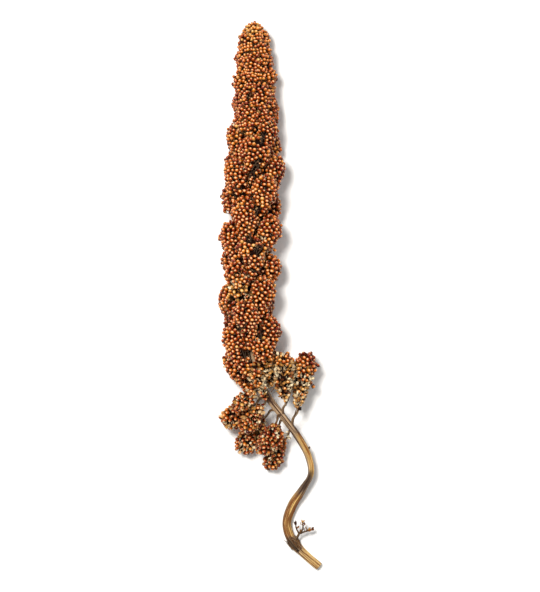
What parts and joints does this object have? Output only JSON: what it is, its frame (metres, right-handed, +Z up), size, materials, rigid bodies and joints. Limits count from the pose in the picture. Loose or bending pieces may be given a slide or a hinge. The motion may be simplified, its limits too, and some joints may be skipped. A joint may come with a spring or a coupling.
{
  "type": "millet seed head",
  "caption": "Seed head of sorghum, also called great millet, lying as cut: grain sprays packed round one stalk, loose ones at the foot and a crooked bare stem.",
  "frame": {"origin": "middle of the part's footprint on the surface that it lies on", "axes": "+Z up from the surface; +Y along the head towards its tip; +X to the side that the stalk's crook bulges to"},
  "size_m": [0.0867, 0.459, 0.0497],
  "materials": {
    "grain": "satin orange to red-brown grain in straw husks",
    "stalk": "matt dry straw, grey-brown and golden, ribbed along its length"
  },
  "bodies": {
    "root": {"stalk": "stalk", "spray_tip": "grain", "spray_01": "grain", "spray_02": "grain", "spray_03": "grain", "spray_04": "grain", "spray_05": "grain", "spray_06": "grain", "spray_07": "grain", "spray_08": "grain", "spray_09": "grain", "spray_10": "grain", "spray_11": "grain", "spray_12": "grain", "spray_13": "grain", "spray_14": "grain", "spray_15": "grain", "spray_16": "grain", "spray_17": "grain", "spray_18": "grain", "spray_19": "grain", "spray_20": "grain", "spray_21": "grain", "spray_22": "grain", "spray_23": "grain", "spray_24": "grain", "spray_25": "grain", "spray_26": "grain", "spray_27": "grain", "spray_28": "grain", "spray_29": "grain", "spray_30": "grain", "spray_31": "grain", "spray_32": "grain", "spray_33": "grain", "spray_34": "grain", "spray_35": "grain", "spray_36": "grain", "spray_37": "grain", "spray_38": "grain", "spray_39": "grain", "spray_40": "grain", "spray_41": "grain", "spray_42": "grain", "spray_43": "grain", "spray_44": "grain", "spray_45": "grain", "spray_46": "grain", "spray_47": "grain", "spray_48": "grain", "loose_spray_1": "grain", "loose_spray_2": "grain", "loose_spray_3": "grain", "loose_spray_4": "grain", "loose_spray_5": "grain", "loose_spray_6": "grain", "loose_spray_7": "grain", "loose_spray_8": "grain", "loose_spray_9": "grain", "loose_spray_10": "grain"}
  },
  "joints": []
}
